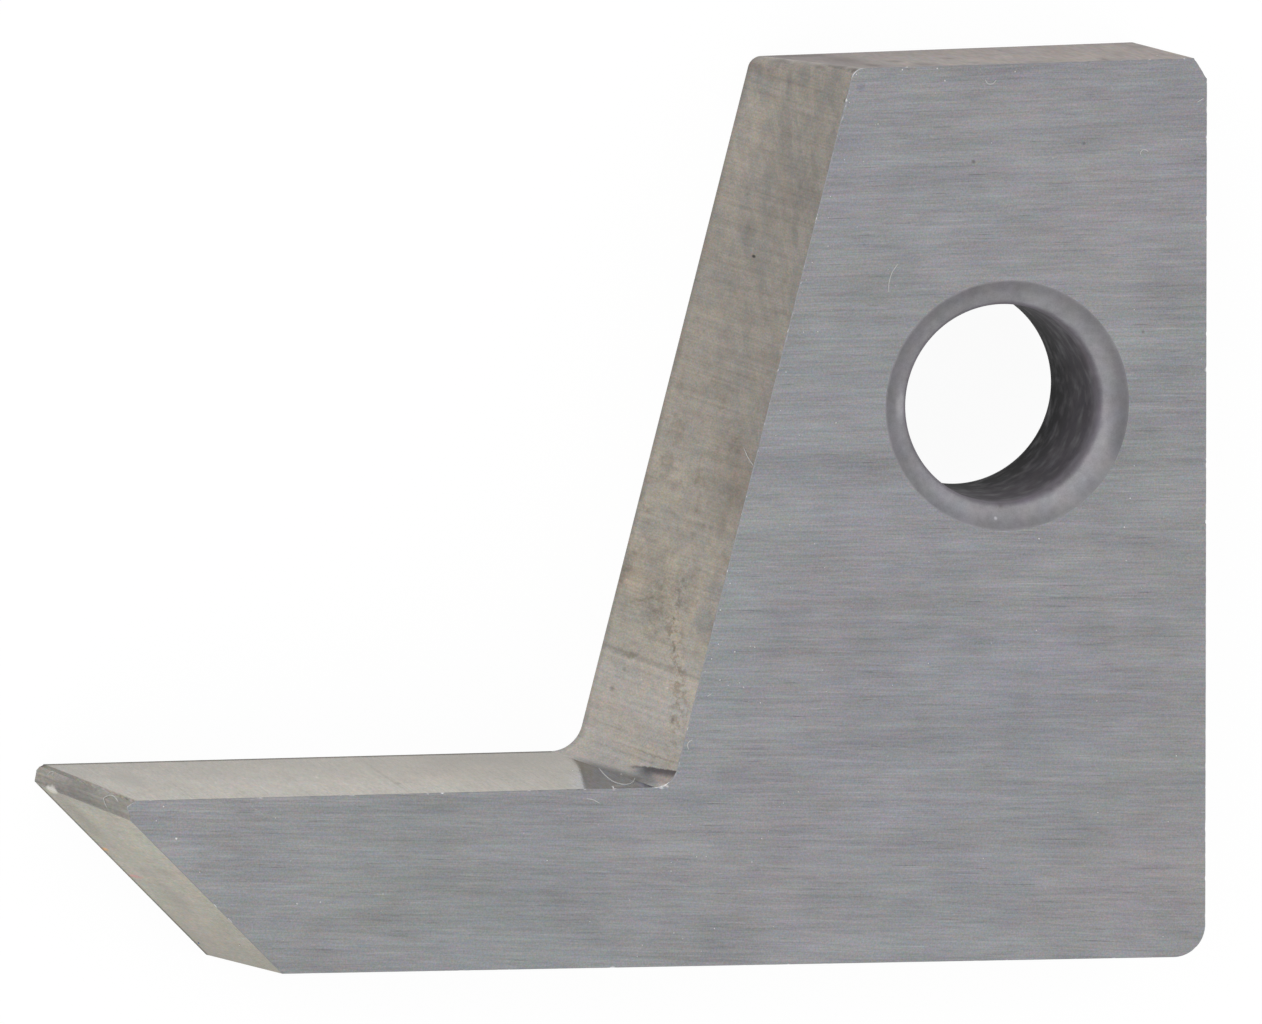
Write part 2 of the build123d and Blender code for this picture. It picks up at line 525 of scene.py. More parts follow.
def on_wall(sizes, wall, along, height):
    """Places on the skin and its outward normals, followed along a wall and round the corners past its ends.

    The place along a wall is measured in its direction of travel from level with the bore's axis. Past its
    ends the plan at that height is walked in straight steps between its points.
    """
    (front, back), normals, labels = outline(sizes)
    share = (0.5 - height / sizes.thickness)[:, None, None]
    plan = front + (back - front) * share
    travel = wall_lines(sizes, 0)[0][WALLS.index(wall)]
    walked = np.linalg.norm(np.diff(plan, axis=1, prepend=plan[:, :1]), axis=-1).cumsum(axis=1)
    first = int(np.flatnonzero(labels == wall)[0])
    start = plan[:, first] @ np.array([math.cos(travel), math.sin(travel)])
    place = (along - start + walked[:, first]) % walked[:, -1]
    after = np.clip((walked < place[:, None]).sum(axis=1), 1, len(front) - 1)
    rows = np.arange(len(along))
    low, high = walked[rows, after - 1], walked[rows, after]
    part = ((place - low) / (high - low))[:, None]
    spot = plan[rows, after - 1] * (1 - part) + plan[rows, after] * part
    normal = normals[after - 1] * (1 - part) + normals[after] * part
    return np.column_stack([spot, height]), np.column_stack([normal, np.zeros(len(rows))])


def on_skin(sizes, surface, place):
    """Places on the rake face or on a wall, and the outward normals there."""
    if surface == "rake":
        height = np.full(len(place), sizes.thickness / 2)
        return np.column_stack([place, height]), np.tile([0.0, 0.0, 1.0], (len(place), 1))
    return on_wall(sizes, surface, place[:, 0], place[:, 1])


def capped_faces(rows, turns):
    """Faces between rows of points, closed by a fan round one more point at each end."""
    count = rows * turns
    first, last = np.arange(turns), count - turns + np.arange(turns)
    head = np.stack([np.full(turns, count), first, np.roll(first, -1)], axis=1)
    tail = np.stack([np.full(turns, count + 1), np.roll(last, -1), last], axis=1)
    return grid_quads(0, rows, turns).tolist() + head.tolist() + tail.tolist()


def tube_mesh(path, up, radius, turns=8):
    """A closed tube along a path: p + radius * (cos a * side + sin a * up), with a point at each end."""
    along = np.gradient(path, axis=0)
    along /= np.linalg.norm(along, axis=1, keepdims=True)
    side = np.cross(along, up)
    side /= np.linalg.norm(side, axis=1, keepdims=True)
    over = np.cross(side, along)
    around = np.arange(turns) * 2 * math.pi / turns
    ring = np.cos(around)[:, None] * side[:, None] + np.sin(around)[:, None] * over[:, None]
    rows = (path[:, None] + radius[:, None, None] * ring).reshape(-1, 3)
    return np.concatenate([rows, path[:1], path[-1:]]), capped_faces(len(path), turns)


def through(points, steps):
    """A smooth curve through points, a Catmull-Rom spline with so many steps from each point to the next."""
    first, last = 2 * points[0] - points[1], 2 * points[-1] - points[-2]
    known = np.array([first, *points, last])[:, None]
    a, b, c, d = known[:-3], known[1:-2], known[2:-1], known[3:]
    t = np.arange(steps)[:, None] / steps
    curve = b + t / 2 * (c - a + t * (2 * a - 5 * b + 4 * c - d + t * (3 * b - a - 3 * c + d)))
    return np.concatenate([curve.reshape(-1, 2), points[-1:]])


def fibre_mesh(sizes, dust, fibre):
    """A fibre that rests on the skin, a little raised in the middle and thinner at its ends."""
    surface, width, points = fibre
    spot, normal = on_skin(sizes, surface, through(MM * np.array(points), 12))
    share = np.linspace(0, 1, len(spot))
    radius = width * dust.fibre_width / 2 * (1 - 0.5 * np.abs(2 * share - 1) ** 6)
    lift = width * dust.fibre_width * (0.1 + 0.1 * np.sin(math.pi * share) ** 2)
    return tube_mesh(spot + normal * lift[:, None], normal, radius)


def joined(parts):
    """Several meshes as one."""
    first, faces = 0, []
    for points, own in parts:
        faces += [[first + corner for corner in face] for face in own]
        first += len(points)
    return np.concatenate([points for points, _ in parts]), faces


def stray_places(sizes, dust):
    """Random places on the rake face, closest together by the leaning edge.

    They are inside every wall's line, but for either the slope's or the ledge's. Of those at a distance d
    from the leaning edge a share of 0.12 + exp(-d / 0.7 mm) is kept.
    """
    chance = np.random.default_rng(31)
    places = chance.uniform((BODY_LOW.x, BODY_LOW.y), (BODY_HIGH.x, BODY_HIGH.y), (20 * dust.stray_grains, 2))
    travel, offset = wall_lines(sizes, 0)
    inner = places @ outward(travel).T < offset - 0.05 * MM
    slope, ledge = WALLS.index("slope"), WALLS.index("ledge")
    inside = (inner[:, slope] | inner[:, ledge]) & np.delete(inner, (slope, ledge), axis=1).all(axis=1)
    clear = np.hypot(*places.T) > 1.4 * sizes.bore_radius
    gap = np.abs(offset[slope] - places @ outward(travel[slope]))
    kept = chance.uniform(size=len(places)) < 0.12 + np.exp(-gap / (0.7 * MM))
    return places[inside & clear & kept][: dust.stray_grains], chance


def ball_points(rings, turns):
    """A unit ball: rows (sin p cos a, sin p sin a, cos p), then its two poles."""
    polar = np.linspace(0, math.pi, rings + 2)[1:-1, None]
    around = np.arange(turns) * 2 * math.pi / turns
    rows = np.stack([
        np.sin(polar) * np.cos(around),
        np.sin(polar) * np.sin(around),
        np.repeat(np.cos(polar), turns, axis=1),
    ], axis=-1)
    return np.concatenate([rows.reshape(-1, 3), [[0, 0, 1], [0, 0, -1]]])


def grain_mesh(sizes, dust):
    """All grains as lumpy closed balls of 48 faces, and the kind of each face.

    Each is half sunk, at centre + width / 2 * (x, y, 0.6 z) * lump, turned to the skin under it.
    """
    rings, turns = 5, 8
    ball, shell = ball_points(rings, turns), capped_faces(rings, turns)
    strays, chance = stray_places(sizes, dust)
    placed = [
        (kind, surface, MM * np.array(grains)[:, :2], np.array(grains)[:, 2])
        for kind, surfaces in enumerate(GRAINS.values()) for surface, grains in surfaces.items()
    ]
    placed.append((0, "rake", strays, chance.uniform(0.25, 0.70, len(strays))))
    kinds = np.concatenate([np.full(len(widths), kind) for kind, _, _, widths in placed])
    widths = dust.grain_width * np.concatenate([widths for *_, widths in placed])
    laid = [on_skin(sizes, surface, places) for _, surface, places, _ in placed]
    spots, normals = (np.concatenate(parts) for parts in zip(*laid))
    side = np.cross(normals, (0.3, 0.5, 0.2))
    side /= np.linalg.norm(side, axis=1, keepdims=True)
    frames = np.stack([side, np.cross(normals, side), 0.6 * normals], axis=1)
    lumps = chance.uniform(0.75, 1.2, (len(spots), len(ball), 1))
    points = spots[:, None] + widths[:, None, None] / 2 * lumps * (ball @ frames)
    return joined([(grain, shell) for grain in points]), np.repeat(kinds, len(shell))


# Materials

# A soft ellipse: its place, its half sizes, the tint inside it, the softness of its border and its turn.
# On a wall the place is in the wall's own millimetres, along it and above the middle.
Mark = namedtuple("Mark", "place size tint soft turn", defaults=(0.9, 0))

# The leaning wall is followed from the crown down
SLOPE_STAINS = {
    "dark band": Mark((-3.11, 1.40), (0.50, 1.20), (0.86, 0.86, 0.87)),
    "pale far end": Mark((-4.40, -1.50), (1.40, 0.90), (1.20, 1.19, 1.18)),
    "pale by the vein": Mark((5.60, 1.50), (1.60, 1.20), (1.17, 1.16, 1.15), turn=-14),
    "smudge": Mark((3.65, 1.60), (0.30, 0.15), (0.84, 0.84, 0.84)),
    "line": Mark((6.77, 0.10), (0.050, 2.60), (0.83, 0.83, 0.82)),
    "line foot": Mark((6.76, -1.45), (0.055, 0.85), (0.80, 0.80, 0.79), turn=1),
    "line blob": Mark((6.75, -0.85), (0.055, 0.22), (0.70, 0.69, 0.67), turn=-12),
    "faint line": Mark((5.76, -0.70), (0.030, 0.95), (0.87, 0.86, 0.85)),
    "wiggle high": Mark((5.56, -0.75), (0.025, 0.22), (0.72, 0.70, 0.66), turn=-12),
    "wiggle low": Mark((5.66, -1.15), (0.024, 0.25), (0.75, 0.72, 0.68), turn=-6),
    "edge line": Mark((8.53, 1.20), (0.020, 1.20), (0.78, 0.77, 0.76)),
    "orange zone": Mark((5.25, -1.50), (0.50, 0.80), (1.02, 0.985, 0.95)),
    "crown": Mark((-5.74, -0.20), (0.12, 2.60), (1.06, 1.03, 1.02), soft=0.8),
    "crown smear": Mark((-5.80, 2.15), (0.040, 0.26), (0.44, 0.42, 0.42)),
    "crown smear, low": Mark((-5.78, 1.50), (0.040, 0.24), (0.60, 0.58, 0.57)),
    "crown smear, middle": Mark((-5.75, 1.05), (0.030, 0.28), (0.54, 0.52, 0.51)),
    "crown smear, back": Mark((-5.55, -1.07), (0.040, 0.26), (0.62, 0.61, 0.60)),
    "crown shade, back": Mark((-5.14, -1.20), (0.070, 0.40), (0.82, 0.81, 0.81)),
    "crown smear, far": Mark((-5.65, 0.68), (0.035, 0.26), (0.74, 0.72, 0.70)),
    "crown smudge": Mark((-5.20, -0.38), (0.07, 0.50), (0.76, 0.75, 0.75)),
    "far smudge": Mark((-5.26, -1.85), (0.09, 0.55), (0.72, 0.71, 0.70)),
    "pale blotch high": Mark((-5.05, 0.15), (0.16, 0.26), (1.16, 1.15, 1.13)),
    "pale blotch middle": Mark((-3.25, 0.65), (0.28, 0.32), (1.09, 1.08, 1.06)),
    "dark blotch": Mark((-2.05, -0.45), (0.22, 0.24), (0.86, 0.86, 0.86)),
    "pale blotch right": Mark((2.15, 0.10), (0.16, 0.30), (1.11, 1.10, 1.09)),
    "pale blotch below": Mark((3.00, -0.75), (0.32, 0.34), (1.12, 1.11, 1.10)),
    "brown blotch": Mark((2.80, 1.55), (0.75, 0.85), (0.90, 0.88, 0.86)),
    "back smudge": Mark((0.62, -2.15), (0.32, 0.12), (0.84, 0.83, 0.82)),
    "back smudge, right": Mark((5.28, -2.15), (0.26, 0.12), (0.84, 0.83, 0.82)),
}
SLOPE_SPOTS = {
    "grey oval": Mark((5.42, 2.32), (0.68, 0.95), (0.89, 0.915, 0.955), soft=0.06),
    "pale halo": Mark((5.60, 1.15), (0.30, 0.16), (1.10, 1.08, 1.05), soft=0.8, turn=30),
    "crown spot": Mark((-5.17, 2.25), (0.035, 0.05), (0.55, 0.54, 0.53), soft=0.8),
    "dark dot": Mark((-1.63, 0.03), (0.030, 0.08), (0.10, 0.10, 0.10), soft=0.6),
    "brown spot": Mark((6.38, 0.88), (0.07, 0.05), (0.58, 0.55, 0.50), soft=0.8),
    "grey spot": Mark((6.18, -0.11), (0.05, 0.09), (0.76, 0.76, 0.76), turn=20),
    "dark spot": Mark((7.74, 1.57), (0.06, 0.08), (0.55, 0.53, 0.50), turn=15),
    "dot low": Mark((7.54, -1.37), (0.050, 0.09), (0.62, 0.61, 0.58)),
    "dot high": Mark((7.09, -1.05), (0.040, 0.07), (0.74, 0.73, 0.70)),
    "white dot low": Mark((7.17, -0.20), (0.018, 0.040), (1.40, 1.42, 1.46), soft=0.6),
    "white dot high": Mark((7.15, 1.00), (0.018, 0.040), (1.35, 1.37, 1.40), soft=0.6),
}

# Where the leaning wall is speckled, rather than stained all over
SLOPE_SPECKLES = {
    "vein, top": Mark((5.30, 0.56), (0.66, 0.26), (0.72, 0.69, 0.64), turn=7),
    "vein, middle": Mark((6.24, 0.84), (0.66, 0.27), (0.68, 0.65, 0.60), turn=-42),
    "vein, foot": Mark((7.22, 1.42), (0.70, 0.27), (0.82, 0.79, 0.74), turn=-17),
    "by the rake edge": Mark((7.28, 1.88), (0.70, 0.36), (0.84, 0.81, 0.77), turn=-47),
    "left of the vein": Mark((5.60, -0.30), (0.70, 0.60), (0.80, 0.78, 0.75)),
    "above the throat": Mark((8.05, 1.85), (0.55, 0.32), (0.84, 0.82, 0.78)),
}

# The flank is followed from the tip down to the toe, the ledge towards the tip
FLANK_MARKS = {
    "dark nose": Mark((-7.75, -0.20), (0.40, 0.80), (0.78, 0.78, 0.78)),
    "dark nose, end": Mark((-7.75, 1.75), (0.40, 0.55), (0.84, 0.84, 0.84)),
    "smudge by the nose": Mark((-6.85, -1.40), (0.60, 0.50), (0.55, 0.55, 0.56)),
    "orange spot": Mark((-5.93, -2.02), (0.050, 0.22), (2.3, 1.0, 0.05), soft=0.5),
    "red smear": Mark((-5.16, -1.75), (0.045, 0.42), (1.5, 0.50, 0.66), soft=0.7),
    "smudge below": Mark((-6.15, -0.30), (0.30, 0.70), (0.80, 0.80, 0.80)),
    "smudge half way": Mark((-4.60, -0.40), (0.30, 0.80), (0.72, 0.72, 0.74)),
    "pink": Mark((-3.60, -0.60), (0.80, 1.30), (1.06, 0.98, 1.02)),
    "brown streak": Mark((-5.45, 0.50), (0.10, 1.30), (0.80, 0.74, 0.74)),
}
FLANK_CHIPS = {
    "pale chip": Mark((-7.68, -1.58), (0.10, 0.30), (0.66, 0.64, 0.60), soft=0.30),
}
LEDGE_MARKS = {
    # The mirrored wedge and the patch are painted reflection: they tint the ledge where it mirrors the throat
    # and the leaning wall
    "mirrored wedge": Mark((7.37, 2.00), (0.15, 0.26), (1.55, 1.58, 1.62)),
    "patch": Mark((7.32, 0.55), (0.98, 2.80), (1.42, 1.78, 2.70), soft=0.35, turn=22),
    "pale smear": Mark((7.95, 2.00), (0.10, 0.14), (1.7, 1.6, 1.5), soft=0.8, turn=20),
    "smudge by the tip": Mark((17.40, -0.20), (0.22, 0.90), (0.62, 0.62, 0.64)),
    "deep smudge": Mark((9.60, -1.60), (1.40, 0.70), (0.62, 0.62, 0.62)),
    "brown zone": Mark((10.70, -0.40), (1.50, 1.50), (0.84, 0.78, 0.72)),
    "line": Mark((12.30, 0.30), (0.035, 2.00), (0.60, 0.56, 0.52)),
    "dot": Mark((12.25, 1.05), (0.050, 0.12), (0.15, 0.14, 0.13)),
    "pale spot": Mark((13.70, 0.10), (0.08, 0.14), (1.70, 1.70, 1.60)),
}

# The top wall is followed from the shoulder to the crown
TOP_MARKS = {
    "smear by the corner": Mark((2.55, 1.55), (0.12, 0.50), (0.28, 0.27, 0.26)),
    "broad smear": Mark((2.70, -0.20), (0.30, 1.00), (0.48, 0.47, 0.46)),
    "smear to the right": Mark((1.52, 1.75), (0.22, 0.42), (0.46, 0.45, 0.44)),
    "smear below": Mark((1.85, 0.60), (0.12, 0.30), (0.42, 0.41, 0.40)),
    "small smear": Mark((0.65, 0.30), (0.09, 0.26), (0.50, 0.48, 0.46)),
    "streak by the rake": Mark((-2.15, 2.00), (0.07, 0.40), (0.42, 0.42, 0.44)),
    "far streak": Mark((2.98, -1.80), (0.32, 0.26), (0.26, 0.25, 0.24)),
    "far streak, left": Mark((3.45, -1.90), (0.30, 0.26), (0.34, 0.33, 0.32)),
}

# Slow changes of tone and small marks on the rake face, placed by X and Y
RAKE_TONES = {
    "green foot": Mark((-12.0, -9.0), (4.5, 2.5), (0.984, 1.004, 0.990)),
    "red top": Mark((0.5, 5.5), (3.5, 1.6), (1.010, 0.996, 1.002)),
    "purple patch": Mark((1.0, -6.0), (1.8, 1.3), (0.998, 0.992, 1.016)),
    "warm corner": Mark((2.8, -9.6), (1.6, 1.4), (1.015, 1.000, 0.985)),
    "dark streaks": Mark((-12.5, -7.8), (1.4, 0.16), (0.955, 0.960, 0.965)),
    "bright dash high": Mark((0.77, 5.34), (0.42, 0.020), (1.14, 1.14, 1.14), soft=0.6),
    "bright dash left": Mark((-0.45, 4.22), (0.50, 0.020), (1.13, 1.13, 1.13), soft=0.6),
    "bright dash right": Mark((3.10, 4.08), (0.16, 0.020), (1.14, 1.14, 1.14), soft=0.6),
    "dark dot left": Mark((-0.71, 4.93), (0.035, 0.035), (0.62, 0.62, 0.62), soft=0.6),
    "dark dot middle": Mark((1.58, 5.24), (0.030, 0.030), (0.66, 0.66, 0.66), soft=0.6),
    "dark dot right": Mark((2.81, 1.42), (0.030, 0.030), (0.66, 0.66, 0.66), soft=0.6),
    "foot scratch": Mark((-15.48, -7.72), (0.18, 0.012), (1.15, 1.15, 1.14), soft=0.6, turn=37),
    "bluish line": Mark((3.73, -2.85), (0.27, 0.014), (0.90, 0.96, 1.10), soft=0.6, turn=19),
    "faint line": Mark((2.78, 0.84), (0.18, 0.012), (1.12, 1.12, 1.12), soft=0.6, turn=16),
    "pale tip": Mark((-16.3, -8.5), (2.4, 1.3), (1.080, 1.075, 1.060)),
    "pale by the slope, high": Mark((-4.05, 1.40), (0.45, 1.60), (1.055, 1.065, 1.055), turn=14.7),
    "pale by the slope, low": Mark((-5.85, -4.80), (0.65, 2.60), (1.035, 1.060, 1.050), turn=14.7),
    "pale over the bore": Mark((0.0, 3.6), (1.6, 0.9), (1.030, 1.038, 1.035)),
    "dim right": Mark((2.8, -6.2), (1.5, 1.5), (0.955, 0.958, 0.950)),
    # The throat chips are painted glints on the rake face where the edge is chipped
    "throat chip": Mark((-7.15, -7.505), (0.045, 0.024), (1.9, 1.85, 1.8), soft=0.5, turn=20),
    "throat chip, right": Mark((-7.04, -7.465), (0.045, 0.022), (1.8, 1.75, 1.7), soft=0.5, turn=35),
    "throat chip, left": Mark((-8.12, -7.520), (0.025, 0.025), (1.3, 1.28, 1.26), soft=0.5),
    "crown smudge": Mark((-3.03, 6.48), (0.07, 0.08), (0.84, 0.82, 0.88)),
}

# Spots in the countersink, placed by X and Y; its bright patches are painted light and its dark right side is
# painted shade
RING_MARKS = {
    "bright lower left": Mark((-1.35, -1.95), (0.75, 0.45), (1.18, 1.20, 1.22), turn=50),
    "bright left": Mark((-2.14, 0.05), (0.10, 0.30), (1.45, 1.47, 1.48), soft=0.7),
    "dark right": Mark((2.42, -0.85), (0.20, 1.20), (0.68, 0.69, 0.71)),
    "white dot": Mark((-0.20, -2.28), (0.030, 0.030), (1.7, 1.7, 1.7), soft=0.6),
    "brown spot": Mark((-0.04, -2.02), (0.05, 0.05), (0.62, 0.56, 0.50), soft=0.8),
}

# Painted glints: bright places of the rake face's edges, placed by X and Y
EDGE_GLINTS = {
    "throat": Mark((-7.20, -7.49), (0.09, 0.05), (2.6, 2.6, 2.5), soft=0.5),
    "throat, right": Mark((-7.03, -7.45), (0.07, 0.05), (2.4, 2.4, 2.3), soft=0.5),
    "throat, left": Mark((-8.12, -7.51), (0.05, 0.05), (1.6, 1.5, 1.45), soft=0.5),
    "crown": Mark((-3.12, 6.78), (0.16, 0.12), (1.9, 1.9, 1.9), soft=0.5),
    "under the crown": Mark((-3.335, 6.225), (0.02, 0.03), (2.6, 2.6, 2.6), soft=0.5),
    "tip": Mark((-18.06, -7.60), (0.12, 0.06), (1.6, 1.6, 1.6), soft=0.5, turn=-30),
}

# How far the tip's rounding shifts along the flank from the seating face to the rake face, per unit of height
NOSE_LEAN = 0.15

# Depth in millimetres of a mark across its wall, so that it has the same form all through the tool
FAR = 1000.0


def add_node(tree, kind, inputs=None, **settings):
    """A node with its settings, its values and its links."""
    node = tree.nodes.new(kind)
    for key, value in settings.items():
        setattr(node, key, value)
    for key, value in (inputs or {}).items():
        if isinstance(value, bpy.types.NodeSocket):
            tree.links.new(value, node.inputs[key])
        else:
            node.inputs[key].default_value = value
    return node


class Finish:
    """Nodes of one material. Patterns are in millimetres of the object's own coordinates."""

    def __init__(self, name, metallic=1.0, roughness=0.4):
        self.material = bpy.data.materials.new(name)
        self.material.use_nodes = True
        self.tree = self.material.node_tree
        self.shader = self.tree.nodes["Principled BSDF"]
        self.shader.inputs["Metallic"].default_value = metallic
        self.shader.inputs["Roughness"].default_value = roughness
        place = self.add("ShaderNodeTexCoord")
        self.place = self.vector("SCALE", place.outputs["Object"], scale=1 / MM)
        self.apart = self.split(self.place)
        self.plan = self.point(X=self.apart["X"], Z=self.apart["Y"])
        self.seeds = 0

    def add(self, kind, inputs=None, **settings):
        """A node of this material."""
        return add_node(self.tree, kind, inputs, **settings)

    def vector(self, operation, *values, scale=None):
        """One step of vector arithmetic."""
        inputs = dict(enumerate(values))
        if scale is not None:
            inputs["Scale"] = scale
        node = self.add("ShaderNodeVectorMath", inputs, operation=operation)
        return node.outputs["Value" if operation == "LENGTH" else "Vector"]

    def math(self, operation, *values):
        """One step of arithmetic."""
        return self.add("ShaderNodeMath", dict(enumerate(values)), operation=operation).outputs[0]

    def times(self, *values):
        """The product of several numbers."""
        product, *rest = values
        for value in rest:
            product = self.math("MULTIPLY", product, value)
        return product

    def split(self, vector):
        """The three parts of a vector."""
        return self.add("ShaderNodeSeparateXYZ", {0: vector}).outputs

    def point(self, **parts):
        """A vector from the parts that aren't 0."""
        return self.add("ShaderNodeCombineXYZ", parts).outputs[0]

    def turned(self, direction):
        """Coordinates whose X runs along a direction in the plan, an angle from +X."""
        inputs = {"Vector": self.place, "Rotation": (0, 0, -direction)}
        return self.add("ShaderNodeMapping", inputs, vector_type="POINT").outputs[0]

    def grain(self, vector, size, detail=2.0, roughness=0.5):
        """Noise texture with grains of the given size in millimetres along X, Y and Z."""
        self.seeds += 1
        stretch = tuple(1 / grain for grain in size)
        shift = tuple(self.seeds * step for step in (17.3, 9.1, 23.7))
        inputs = {"Vector": vector, "Scale": stretch, "Location": shift}
        mapped = self.add("ShaderNodeMapping", inputs, vector_type="POINT")
        inputs = {"Vector": mapped.outputs[0], "Scale": 1.0, "Detail": detail, "Roughness": roughness}
        return self.add("ShaderNodeTexNoise", inputs)

    def noise(self, vector, size, detail=2.0, roughness=0.5):
        """Grey noise from 0 to 1."""
        return self.grain(vector, size, detail, roughness).outputs["Fac"]

    def ramp(self, value, low, high, start=0.0, end=1.0):
        """A soft step: start below low, end above high."""
        inputs = {"Value": value, "From Min": low, "From Max": high, "To Min": start, "To Max": end}
        return self.add("ShaderNodeMapRange", inputs, interpolation_type="SMOOTHSTEP").outputs[0]

    def blend(self, share, first, second, way="MIX"):
        """Two colours mixed by a share, or with way MULTIPLY the first one tinted by the second."""
        first, second = (c if isinstance(c, bpy.types.NodeSocket) else (*c, 1) for c in (first, second))
        inputs = {0: share, 6: first, 7: second}
        return self.add("ShaderNodeMix", inputs, data_type="RGBA", blend_type=way).outputs[2]

    def level(self, colour, *parts):
        """A colour made lighter and darker by 1 + the sum of strength * (pattern - 0.5)."""
        total = 1.0
        for strength, pattern in parts:
            swing = self.times(self.math("SUBTRACT", pattern, 0.5), strength)
            total = self.math("ADD", swing, total)
        if not isinstance(colour, bpy.types.NodeSocket):
            colour = tuple(colour)
        return self.vector("SCALE", colour, scale=total)

    def hued(self, colour, strength, vector, size, detail=1.0):
        """A colour whose red and blue waver by strength * (noise - 0.5), and its green half as much."""
        noise = self.grain(vector, size, detail).outputs["Color"]
        reach = np.array([1.0, 0.5, 1.0]) * strength
        push = self.vector("MULTIPLY_ADD", noise, tuple(reach), tuple(1 - reach / 2))
        return self.vector("MULTIPLY", colour, push)

    def ragged(self, vector, size, reach):
        """Coordinates pushed about by noise, so that what is drawn on them has uneven borders."""
        noise = self.grain(vector, (size,) * 3, detail=3).outputs["Color"]
        return self.vector("ADD", vector, self.vector("MULTIPLY_ADD", noise, (reach,) * 3, (-reach / 2,) * 3))

    def inside(self, vector, mark):
        """A share of 1 inside a mark, an ellipse in the X and Z of a vector, falling to 0 over its border."""
        (along, height), (long, tall) = mark.place, mark.size
        inputs = {
            "Vector": vector, "Location": (along, 0, height),
            "Rotation": (0, math.radians(mark.turn), 0), "Scale": (long, FAR, tall),
        }
        local = self.add("ShaderNodeMapping", inputs, vector_type="TEXTURE").outputs[0]
        return self.ramp(self.vector("LENGTH", local), 1 - mark.soft, 1 + mark.soft, 1.0, 0.0)

    def marked(self, colour, vector, marks, way="MULTIPLY"):
        """A colour tinted inside each mark, or with way MIX replaced there."""
        for mark in marks.values():
            colour = self.blend(self.inside(vector, mark), colour, mark.tint, way)
        return colour

    def shaded_rim(self, colour, bottom, tint):
        """A colour darkened in a thin line along the seating face's edge: painted shade along the far edge.
        """
        near = self.ramp(self.apart["Z"], bottom + 0.02, bottom + 0.30, 1.0, 0.0)
        return self.blend(near, colour, (tint,) * 3, "MULTIPLY")

    def surface(self, colour, height=None, relief=0.5):
        """Wire the colour and the bump, whose full height is in thousandths of a millimetre."""
        self.tree.links.new(colour, self.shader.inputs["Base Color"])
        if height is not None:
            inputs = {"Height": height, "Strength": 1.0, "Distance": relief * MM * MM}
            bump = self.add("ShaderNodeBump", inputs)
            self.tree.links.new(bump.outputs[0], self.shader.inputs["Normal"])
        return self.material


def rake_finish(shades):
    """Fine grinding streaks that fan out a little from the heel, with slow changes of tone and marks."""
    finish = Finish("ground_rake", roughness=0.38)
    apart = finish.apart
    fan_height, fan_rate = 3.8, 0.0031
    spread = finish.math("MULTIPLY_ADD", apart["X"], fan_rate, 1.0)
    across = finish.math("DIVIDE", finish.math("SUBTRACT", apart["Y"], fan_height), spread)
    flow = finish.point(X=apart["X"], Y=across)
    fine = finish.noise(flow, (0.7, 0.03, 1), detail=2)
    streak = finish.noise(flow, (2.2, 0.07, 1), detail=3)
    band = finish.noise(flow, (7, 0.5, 1), detail=2)
    cloud = finish.noise(finish.place, (1.6, 1.1, 1), detail=2)
    grit = finish.noise(finish.place, (0.03, 0.03, 1), detail=1)
    bright = finish.ramp(finish.noise(flow, (0.9, 0.035, 1), detail=1), 0.66, 0.80)
    dark = finish.ramp(finish.noise(flow, (0.8, 0.035, 1), detail=1), 0.66, 0.80)
    colour = finish.level(
        shades.rake, (0.44, fine), (0.34, streak), (0.26, band), (0.32, cloud), (0.48, grit),
        (0.18, finish.math("ADD", bright, 0.5)), (-0.28, finish.math("ADD", dark, 0.5)),
    )
    colour = finish.hued(colour, 0.53, finish.place, (0.05, 0.05, 1))
    colour = finish.hued(colour, 0.20, flow, (0.5, 0.12, 1), detail=3)
    colour = finish.hued(colour, 0.10, finish.place, (3.5, 2.5, 1), detail=2)
    colour = finish.marked(colour, finish.plan, RAKE_TONES)
    height = finish.math("ADD", fine, streak)
    return finish.surface(colour, height, relief=0.6)


def bare_slope(finish, shades, along, apart):
    """Tone of the bare leaning wall: paler and browner towards the throat, with blotches and mottles."""
    rise = finish.math("MULTIPLY_ADD", apart["Z"], -1.5, apart["X"])
    bare = finish.blend(finish.ramp(rise, -4, 8), shades.slope, shades.slope_warm)
    bare = finish.blend(finish.ramp(apart["X"], 6.0, 7.4), bare, shades.slope_clean)
    patch = finish.noise(along, (0.50, 1, 0.9), detail=4, roughness=0.6)
    mottle = finish.noise(along, (0.14, 1, 0.3), detail=3, roughness=0.6)
    tone = finish.level(bare, (finish.ramp(apart["X"], 5.5, 7.2, 0.46, 0.20), patch), (0.42, mottle))
    warmth = finish.blend(finish.ramp(patch, 0.35, 0.65), (0.970, 1.000, 1.035), (1.020, 1.000, 0.965))
    return finish.vector("MULTIPLY", tone, warmth)


def hazed(finish, shades, tone, apart):
    """The tone under pale haze, wiped aslant, which fades out before the throat."""
    leaning = finish.math("MULTIPLY_ADD", apart["X"], -0.585, apart["Z"])
    wiped = finish.point(X=apart["X"], Z=leaning)
    pale = finish.ramp(finish.noise(wiped, (0.60, 1, 0.50), detail=5, roughness=0.65), 0.44, 0.62, 0.10, 0.72)
    haze = finish.times(pale, finish.ramp(apart["X"], 1.0, 5.5, 1.0, 0.0))
    return finish.blend(haze, tone, shades.haze)


